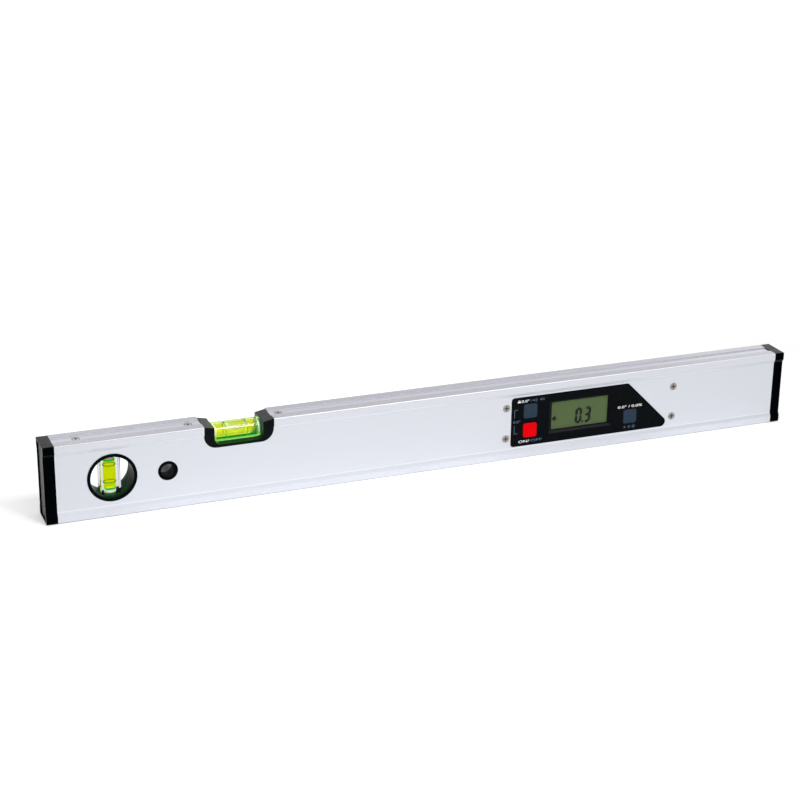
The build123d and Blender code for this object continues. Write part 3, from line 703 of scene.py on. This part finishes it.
# Wrapped cell: dark jacket with a plain pale band and bare steel ends
def cell_wrap(name, node):
    mat = new_material(name, {"Metallic": 0.25})
    steel, dark, pale = (0.60, 0.60, 0.61), (0.030, 0.034, 0.045), (0.62, 0.36, 0.12)
    stops = [(0.0, steel), (0.02, dark), (0.68, pale), (0.97, dark), (0.985, steel)]
    plain = ramp(mat, share_along(mat, node, "X"), stops, "CONSTANT")
    scuff = noise(mat, (900, 60, 60), 3.0)
    worn = remap(mat, scuff, 0.45, 0.8, 0.0, 0.25)
    feed(mat, "Base Color", blend_colour(mat, worn, plain, (0.12, 0.12, 0.12)))
    feed(mat, "Roughness", remap(mat, scuff, *cloud_span, 0.25, 0.4))
    return mat


# Printed ink
def ink(name, colour):
    mat = new_material(name, {"Specular IOR Level": 0.2})
    patch = even_noise(mat, 3000)
    thin = tuple(0.9 * part for part in colour)
    feed(mat, "Base Color", two_tones(mat, patch, cloud_span, thin, colour))
    feed(mat, "Roughness", remap(mat, patch, *cloud_span, 0.5, 0.65))
    return mat


# Ink or liquid surface that is lit by the liquid around it
def lit_ink(name, colour, glow, strength):
    mat = ink(name, colour)
    set_values(mat, {"Emission Color": (*glow, 1.0), "Emission Strength": strength})
    return mat


# White floor: where it is seen directly, its own glow makes up for the fall-off of the lamps
def floor_white(name):
    mat = new_material(name, {"Base Color": (0.86, 0.86, 0.86, 1.0), "Roughness": 0.9,
                              "Specular IOR Level": 0.0, "Emission Color": (1.0, 1.0, 1.0, 1.0)})
    left, right = (remap(mat, axis_value(mat, "X"), *span) for span in (glow_left, glow_right))
    front = remap(mat, axis_value(mat, "Y"), *glow_front)
    around = product(mat, math_node(mat, "MINIMUM", left, right), front)
    inputs = {0: place(mat), 1: glow_point}
    reach = add_node(mat, "ShaderNodeVectorMath", inputs, operation="DISTANCE").outputs["Value"]
    near, far = (remap(mat, reach, *span) for span in (glow_near, glow_far))
    glow = math_node(mat, "MAXIMUM", around, math_node(mat, "MAXIMUM", near, far))
    feed(mat, "Emission Strength", product(mat, seen_directly(mat), glow))
    return mat


# Finish of each material slot
def make_finishes():
    rubber = {"gloss": (0.5, 0.62), "sheen": (0.03, 0.2)}
    cap = {"sheen": (0.006, 0.115), "mirror": (0.68, 0.84, 1.0)}
    even, upright, across = (2500, 2500, 2500), (900, 900, 60), (900, 60, 900)
    can = ((0.55, 0.55, 0.55), (0.68, 0.68, 0.68))
    steel = ((0.28, 0.26, 0.235), (0.44, 0.41, 0.38))
    spring = ((0.62, 0.61, 0.58), (0.76, 0.75, 0.72))
    return {
        "anodised_aluminium": anodised("satin_anodised"),
        "cap_plastic": plastic("cap_black", (0.0004, 0.0006, 0.0009), (0.0009, 0.0012, 0.0018), **cap),
        "holder_plastic": plastic("holder_black", (0.0030, 0.0046, 0.0048), (0.0060, 0.0084, 0.0088)),
        "bezel_plastic": plastic("bezel_black", (0.0026, 0.0028, 0.0030), (0.0046, 0.0048, 0.0052)),
        "tray_plastic": plastic("tray_black", (0.008, 0.008, 0.009), (0.014, 0.014, 0.015)),
        "slate_key": plastic("slate_rubber", (0.023, 0.040, 0.062), (0.030, 0.050, 0.075), **rubber),
        "red_key": plastic("red_rubber", (0.74, 0.0002, 0.003), (0.82, 0.0004, 0.005), **rubber),
        "stem_plastic": plastic("stem_white", (0.55, 0.54, 0.50), (0.62, 0.61, 0.57)),
        "clear_acrylic": tube_glass("tube_acrylic", "level_vial_tube"),
        "vial_liquid": lying_liquid("lying_liquid", "level_vial_liquid"),
        "ring_mark": lit_ink("ring_green", (0.10, 0.48, 0.05), (0.08, 0.40, 0.03), 0.25),
        "vial_plug": glowing_plug("plug_green", "level_vial_tube"),
        "display_window": window_film("display_window"),
        "lcd_glass": lcd_ground("lcd_olive"),
        "light_guide": plastic("light_guide", (0.70, 0.74, 0.66), (0.78, 0.82, 0.72), (0.2, 0.3)),
        "contact_rubber": plastic("contact_rubber", (0.05, 0.05, 0.05), (0.40, 0.40, 0.38)),
        "board_laminate": board_mask("board_green"),
        "package_plastic": plastic("package_black", (0.012, 0.012, 0.013), (0.020, 0.020, 0.021)),
        "sensor_case": metal("sensor_can", *can, upright, (0.28, 0.4)),
        "switch_case": plastic("switch_black", (0.010, 0.010, 0.011), (0.018, 0.018, 0.019)),
        "screw_steel": metal("screw_steel", *steel, even, (0.28, 0.42)),
        "contact_steel": metal("contact_steel", *spring, across, (0.2, 0.3)),
        "cell_jacket": cell_wrap("cell_wrap", "battery_cells"),
    }


# Finish of each solid that differs from the rest of its slot
def make_own_finishes():
    film = ((0.0020, 0.0028, 0.0036), (0.0036, 0.0048, 0.0060))
    insert = ((0.0012, 0.0032, 0.0028), (0.0024, 0.0056, 0.0048))
    bush = ((0.008, 0.009, 0.010), (0.014, 0.015, 0.016))
    # The top screws take a lighter copy of the face screws' steel: painted light on the heads that face up
    top_steel_lit = ((0.50, 0.49, 0.48), (0.66, 0.65, 0.64))
    face_steel = ((0.26, 0.24, 0.215), (0.42, 0.39, 0.36))
    lining = window_lining("lining_black", *insert)
    return {
        "display_bezel": filmed("bezel_film", film, (0.018, 0.017, 0.022)),
        "plumb_insert": lining,
        "plumb_bezel_front": lining,
        "plumb_bezel_back": lining,
        "plumb_screw": recess_shaded_steel("plumb_screw_steel", "plumb_screw", "Z", *top_steel_lit),
        "anchor_screws": recess_shaded_steel("anchor_steel", "anchor_screws", "Z", *top_steel_lit),
        "plumb_vial_plug": lit_plug("plug_pale", "plumb_vial_plug"),
        # Front bush a shaded copy and back bush a lit copy of the same black plastic: painted shade in
        # front, painted light deeper in
        "hang_bush_front": plastic("bush_black_shaded", *insert, sheen=(0.005, 0.02)),
        "hang_bush_back": plastic("bush_grey_lit", *bush, sheen=(0.03, 0.24)),
        "display_screws": recess_shaded_steel("face_steel", "display_screws", "Y", *face_steel),
    }


def dress_nodes():
    own = make_own_finishes()
    for node, solid in nodes.items():
        solid.data.materials.clear()
        solid.data.materials.append(own.get(node, finishes[slots[node]]))


# Mesh helpers

def add_piece(name, builder, mat, smooth=False):
    mesh = bpy.data.meshes.new(name)
    builder.to_mesh(mesh)
    builder.free()
    piece = bpy.data.objects.new(name, mesh)
    bpy.context.scene.collection.objects.link(piece)
    mesh.materials.append(mat)
    if smooth:
        mesh.shade_smooth()
        mesh.set_sharp_from_angle(angle=smooth_angle)
    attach(piece, root)
    return piece


def full_turn(steps):
    return [2 * math.pi * k / steps for k in range(steps)]


# Skin over rows of points: a pole, rings of equal count, a pole
def wrap(builder, rows, inward=False):
    made = [[builder.verts.new(point) for point in row] for row in rows]
    steps = max(len(row) for row in made)
    for first, second in zip(made, made[1:]):
        for k in range(steps):
            corners = ((first, k), (second, k), (second, k + 1), (first, k + 1))
            unique = list(dict.fromkeys(row[step % len(row)] for row, step in corners))
            builder.faces.new(unique if inward else reversed(unique))


# Closed surface of revolution about a line through origin: outline of (along, radius) from pole to pole
def lathe(builder, outline, origin, direction, steps):
    axis = Vector(direction)
    side = axis.orthogonal().normalized()
    other = axis.cross(side)
    rows = []
    for along, radius in outline:
        centre = origin + axis * along
        around = [centre + radius * (math.cos(a) * side + math.sin(a) * other) for a in full_turn(steps)]
        rows.append(around if radius > 0.0 else [centre])
    wrap(builder, rows)


# Flat outline in X and Z, going round anticlockwise as seen from the front, carried from front to back
def plate(builder, points, front, back):
    near = [builder.verts.new((x, front, z)) for x, z in points]
    far = [builder.verts.new((x, back, z)) for x, z in points]
    builder.faces.new(near)
    builder.faces.new(list(reversed(far)))
    for k in range(len(points)):
        n = (k + 1) % len(points)
        builder.faces.new((near[k], far[k], far[n], near[n]))


def bar(x0, z0, x1, z1):
    return [(x0, z0), (x1, z0), (x1, z1), (x0, z1)]


# Part of a flat ring as an outline
def arc_band(x, z, inner, outer, start, end, steps=20):
    turns = [start + (end - start) * k / steps for k in range(steps + 1)]
    outside = [(x + outer * math.cos(a), z + outer * math.sin(a)) for a in turns]
    inside = [(x + inner * math.cos(a), z + inner * math.sin(a)) for a in reversed(turns)]
    return outside + inside


# Outline made of a few points, repeated in four quarter turns
def quarter_turns(points):
    outline = []
    for _ in range(4):
        outline += points
        points = [(-z, x) for x, z in points]
    return outline


# Lying vial: clear barrel with the gas of its bubble as a void, and the coloured liquid under it

def bore_radius(along):
    return bore_middle - bore_fall * (along / bore_reach) ** 2


# Height of the liquid's surface over the middle of the bore, or a height above the bore beside the bubble
def gas_level(along):
    if abs(along) >= gas_half:
        return above_bore
    return bore_radius(along) - gas_depth * (1.0 - abs(along / gas_half) ** gas_fullness) ** gas_roundness


# Section of the bore at one place along it, cut at a level: max keeps what is above it, min what is below
def bore_section(centre, along, radius, level, keep):
    points = []
    for turn in full_turn(bore_steps):
        height = keep(radius * math.sin(turn), level)
        points.append(centre + Vector((along, -radius * math.cos(turn), height)))
    return points


# Outline of the tube as (along, radius), with rounded ends
def tube_outline(half, radius):
    turns = [math.pi / 2 * k / edge_steps for k in range(edge_steps + 1)]
    start, inner = half - tube_edge, radius - tube_edge
    corner = [(start + tube_edge * math.sin(a), inner + tube_edge * math.cos(a)) for a in turns]
    end = [(half - tube_shoulder, radius)] + corner + [(half, radius - tube_shoulder)]
    return [(-half, 0.0)] + [(-x, r) for x, r in reversed(end)] + end + [(half, 0.0)]


def make_level_glass():
    low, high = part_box("level_vial_tube")
    centre = (low + high) / 2
    builder = bmesh.new()
    outline = tube_outline((high.x - low.x) / 2, (high.z - low.z) / 2)
    lathe(builder, outline, centre, (1, 0, 0), tube_steps)
    outside = len(builder.faces)
    gas = []
    for k in range(1, gas_steps):
        along = -gas_half * math.cos(math.pi * k / gas_steps)
        gas.append(bore_section(centre, along, bore_radius(along), gas_level(along) + gas_gap, max))
    left, right = ([centre + Vector((x, 0.0, bore_radius(x)))] for x in (-gas_half, gas_half))
    wrap(builder, [left, *gas, right], inward=True)
    builder.faces.ensure_lookup_table()
    for face in builder.faces[outside:]:
        face.material_index = 1
    glass = add_piece("level_vial_glass", builder, finishes["clear_acrylic"], smooth=True)
    crown = centre.z + bore_radius(0.0)
    glass.data.materials.append(bubble_wall("bubble_wall", crown - gas_depth, crown))
    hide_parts("level_vial_tube")


def make_level_fluid():
    centre = middle_of("level_vial_tube")
    low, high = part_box("level_vial_liquid")
    half = (high.x - low.x) / 2
    sections = []
    for k in range(liquid_steps + 1):
        along = half * (2 * k / liquid_steps - 1)
        sections.append(bore_section(centre, along, bore_radius(along) - liquid_gap, gas_level(along), min))
    left, right = ([centre + Vector((x, 0.0, 0.0))] for x in (-half, half))
    builder = bmesh.new()
    wrap(builder, [left, *sections, right])
    fluid = add_piece("level_vial_fluid", builder, finishes["vial_liquid"], smooth=True)
    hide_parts("level_vial_liquid")


# Upright vial: clear block, and the liquid with its pale surface

def make_plumb_block():
    low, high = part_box("plumb_vial_block")
    builder = bmesh.new()
    bmesh.ops.create_cube(builder, size=1.0)
    bmesh.ops.scale(builder, vec=high - low, verts=builder.verts)
    bmesh.ops.translate(builder, vec=(low + high) / 2, verts=builder.verts)
    bmesh.ops.bevel(builder, geom=list(builder.edges), offset=block_edge, segments=block_edge_steps,
                    profile=0.5, affect="EDGES")
    acrylic = clear("block_acrylic", (0.62, 0.65, 0.68), block_index, 0.15)
    block = add_piece("plumb_vial_clear", builder, acrylic, smooth=True)
    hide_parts("plumb_vial_block")


def make_plumb_fluid():
    centre = middle_of("plumb_vial_block")
    low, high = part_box("plumb_vial_liquid")
    half_bore = centre.z - low.z
    outline = [(low.z, 0.0)]
    for k in range(plumb_rows + 1):
        up = (high.z - low.z) * k / plumb_rows
        share = up / half_bore - 1
        outline.append((low.z + up, plumb_middle - (plumb_middle - plumb_end) * share * share))
    top, rim = high.z - surface_drop, outline[-1][1]
    outline[-1] = (top, rim)
    outline += [(top, surface_share * rim), (top, 0.0)]
    builder = bmesh.new()
    lathe(builder, outline, Vector((centre.x, centre.y, 0.0)), (0, 0, 1), plumb_steps)
    builder.faces.ensure_lookup_table()
    for face in builder.faces[-plumb_steps:]:
        face.material_index = 1
    green = upright_liquid("upright_liquid", "plumb_vial_liquid")
    fluid = add_piece("plumb_vial_fluid", builder, green, smooth=True)
    fluid.data.materials.append(lit_ink("liquid_top", (0.66, 0.68, 0.54), (0.34, 0.36, 0.27), 0.8))
    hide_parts("plumb_vial_liquid")


# Reading of the display as dark segments just in front of its glass

def lean_over(points, base):
    return [(x + (z - base) * digit_lean, z) for x, z in points]


def digit_bars(x, z, lit):
    left, right = x - digit_width / 2, x + digit_width / 2
    low, high = z - digit_height / 2, z + digit_height / 2
    cut = segment_width / 2

    def flat(level):
        start, end = left - segment_overlap, right + segment_overlap
        return [(start, level), (start + cut, level - cut), (end - cut, level - cut),
                (end, level), (end - cut, level + cut), (start + cut, level + cut)]

    def upright(side, foot, head):
        start, end = foot - segment_overlap, head + segment_overlap
        return [(side, start), (side + cut, start + cut), (side + cut, end - cut),
                (side, end), (side - cut, end - cut), (side - cut, start + cut)]

    shapes = {"a": flat(high), "g": flat(z), "d": flat(low), "f": upright(left, z, high),
              "b": upright(right, z, high), "e": upright(left, low, z), "c": upright(right, low, z)}
    return [shapes[k] for k in lit]


def plus_sign(x, z):
    arm = [(-plus_half, -plus_arm), (plus_half, -plus_arm), (plus_half, -plus_half)]
    return [(x + px, z + pz) for px, pz in quarter_turns(arm)]


def make_reading():
    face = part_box("lcd_panel")[0].y
    depth = (face - reading_front, face - reading_back)
    middle = middle_of("display_lens")
    zero, three = middle.x + zero_at, middle.x + three_at
    point = (zero + three) / 2
    digit_z = middle.z - digit_drop
    foot, head = digit_z - digit_height / 2, digit_z + digit_height / 2
    shapes = digit_bars(zero, digit_z, "abcdef") + digit_bars(three, digit_z, "abcdg")
    shapes.append(bar(point - point_half, foot - point_half, point + point_half, foot + point_half))
    shapes.append(arc_band(three + degree_at, head + degree_rise, *degree_radii, 0.0, degree_turn))
    builder = bmesh.new()
    for points in shapes:
        plate(builder, lean_over(points, digit_z), *depth)
    plate(builder, plus_sign(middle.x + plus_at, middle.z - plus_drop), *depth)
    add_piece("lcd_reading", builder, ink("segment_dark", (0.001, 0.003, 0.001)))


# Printed legends around the keys: plain signs, brackets and the words of the switch

# Words as a flat mesh in the X and Y of the built-in font, at a size of 1
def letter_faces(words):
    curve = bpy.data.curves.new("words", "FONT")
    curve.body = words
    curve.size = 1.0
    curve.offset = font_weight
    source = bpy.data.objects.new("words", curve)
    bpy.context.scene.collection.objects.link(source)
    bpy.context.view_layer.update()
    mesh = bpy.data.meshes.new_from_object(source)
    bpy.data.objects.remove(source)
    bpy.data.curves.remove(curve)
    flat = bmesh.new()
    flat.from_mesh(mesh)
    bpy.data.meshes.remove(mesh)
    return flat


def add_text(builder, words, left, right, base, front, back):
    letters = letter_faces(words)
    start, end = (pick(v.co.x for v in letters.verts) for pick in (min, max))
    widen = (right - left) / (end - start)
    scale = legend_cap / font_cap
    for v in letters.verts:
        v.co = Vector((left + (v.co.x - start) * widen, back, base + v.co.y * scale))
    made = bmesh.ops.extrude_face_region(letters, geom=list(letters.faces))
    for v in (g for g in made["geom"] if isinstance(g, bmesh.types.BMVert)):
        v.co.y = front
    bmesh.ops.remove_doubles(letters, verts=list(letters.verts), dist=weld_reach)
    bmesh.ops.recalc_face_normals(letters, faces=list(letters.faces))
    solid = bpy.data.meshes.new("words")
    letters.to_mesh(solid)
    letters.free()
    builder.from_mesh(solid)
    bpy.data.meshes.remove(solid)


# Signs as outlines in millimetres

def lock_sign():
    shackle = arc_band(0.0, shackle_rise, *shackle_radii, 0.0, math.pi)
    return [bar(-lock_half, 0.0, lock_half, lock_half), shackle]


def slash_sign():
    return [[(-0.55, 0.0), (-0.2, 0.0), (0.55, 2.1), (0.2, 2.1)]]


def speaker_sign():
    return [[(-1.5, 0.7), (-0.8, 0.7), (0.1, 0.0), (0.1, 2.1), (-0.8, 1.4), (-1.5, 1.4)]]


def wave_sign():
    rings = [(radius, radius + wave_width) for radius in wave_radii]
    return [arc_band(0.0, wave_rise, *radii, -wave_turn, wave_turn) for radii in rings]


def cross_sign():
    tip = cross_half - cross_thin
    arm = [(0.0, -cross_thin), (tip, -cross_half), (cross_half, -tip)]
    return [[(cross_half + x, cross_half + z) for x, z in quarter_turns(arm)]]


def sun_sign(size):
    inner, outer = (size * radius for radius in sun_radii)
    start, end = (size * reach for reach in ray_reach)
    outlines = [arc_band(0.0, 0.0, inner, outer, 0.0, sun_turn)]
    for angle in full_turn(sun_rays):
        turn = Matrix.Rotation(angle, 2)
        ray = bar(start, -size * ray_half, end, size * ray_half)
        outlines.append([turn @ Vector(point) for point in ray])
    return outlines


# Bracket beside a key, with its arm above the key's middle or, turned over, below it
def bracket_sign(upwards):
    far, near = upwards * bracket_far, -upwards * bracket_near
    arm_low = min(far, far - upwards * bracket_thin)
    return [bar(0.0, min(far, near), bracket_thin, max(far, near)),
            bar(bracket_thin, arm_low, bracket_arm, arm_low + bracket_thin)]


def make_legends():
    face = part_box("display_bezel")[0].y
    depth = (face - legend_front, face + legend_back)
    keys = {name: middle_of(name) for name in ("hold_key", "power_key", "light_key")}
    hold, power, light = keys.values()
    inks = {"white": bmesh.new(), "blue": bmesh.new()}

    def print_sign(colour, outlines, x, z):
        for outline in outlines:
            plate(inks[colour], [(x + px * mm, z + pz * mm) for px, pz in outline], *depth)

    for colour, words, name, left, right, base in legend_words:
        key = keys[name]
        add_text(inks[colour], words, key.x + left * mm, key.x + right * mm, key.z + base * mm, *depth)
    sign_z = hold.z + sign_rise
    print_sign("white", lock_sign(), hold.x + lock_at, sign_z)
    print_sign("blue", slash_sign(), hold.x + slash_at, sign_z)
    print_sign("blue", speaker_sign(), hold.x + sound_at, sign_z)
    print_sign("blue", speaker_sign(), hold.x + mute_at, sign_z)
    print_sign("blue", wave_sign(), hold.x + sound_at, sign_z)
    print_sign("blue", cross_sign(), hold.x + cross_at, sign_z)
    for step, size in zip((-1, 0, 1), sun_sizes):
        print_sign("blue", sun_sign(size), light.x + step * sun_pitch, light.z - sun_drop)
    for key, upwards in ((hold, 1), (power, -1)):
        print_sign("blue", bracket_sign(upwards), hold.x + bracket_at, key.z)
    add_piece("legends_white", inks["white"], ink("legend_white", (0.85, 0.86, 0.88)))
    add_piece("legends_blue", inks["blue"], ink("legend_blue", (0.085, 0.125, 0.215)))


# Stage, light and camera

def make_stage():
    builder = bmesh.new()
    bmesh.ops.create_grid(builder, x_segments=1, y_segments=1, size=floor_size)
    mesh = bpy.data.meshes.new("floor")
    builder.to_mesh(mesh)
    builder.free()
    floor = bpy.data.objects.new("floor", mesh)
    floor.location.z = cad_box[0][2] - floor_drop
    bpy.context.scene.collection.objects.link(floor)
    mesh.materials.append(floor_white("floor_white"))


def make_world():
    world = bpy.data.worlds.new("studio")
    bpy.context.scene.world = world
    world.use_nodes = True
    background = world.node_tree.nodes["Background"]
    background.inputs["Color"].default_value = (1.0, 1.0, 1.0, 1.0)
    strength = remap(world, seen_directly(world), 0.0, 1.0, world_fill, 1.0)
    set_input(world, background.inputs["Strength"], strength)


def add_lamp(name, at, towards, length, width, power):
    data = bpy.data.lights.new(name, "AREA")
    data.shape = "RECTANGLE"
    data.size, data.size_y = length, width
    data.energy = power
    lamp = bpy.data.objects.new(name, data)
    lamp.location = at
    lamp.rotation_euler = (Vector(towards) - Vector(at)).to_track_quat("-Z", "Y").to_euler()
    bpy.context.scene.collection.objects.link(lamp)


def make_camera():
    turn, rise, roll = view_turn, view_rise, view_roll
    back = Vector((math.sin(turn) * math.cos(rise), -math.cos(turn) * math.cos(rise), math.sin(rise)))
    right = Vector((math.cos(turn), math.sin(turn), 0.0))
    up = back.cross(right)
    tilted_right = math.cos(roll) * right + math.sin(roll) * up
    tilted_up = math.cos(roll) * up - math.sin(roll) * right
    data = bpy.data.cameras.new("camera")
    data.lens = view_lens
    data.sensor_width = view_sensor
    data.clip_start = view_near
    data.clip_end = view_far
    camera = bpy.data.objects.new("camera", data)
    axes = Matrix((tilted_right, tilted_up, back)).transposed().to_4x4()
    camera.matrix_world = Matrix.Translation(view_target + back * view_distance) @ axes
    bpy.context.scene.collection.objects.link(camera)
    bpy.context.scene.camera = camera


finishes = make_finishes()
dress_nodes()
make_level_glass()
make_level_fluid()
make_plumb_block()
make_plumb_fluid()
make_reading()
make_legends()
make_stage()
make_world()
for lamp in lamps:
    add_lamp(*lamp)
make_camera()
bpy.context.scene.view_settings.view_transform = "Standard"
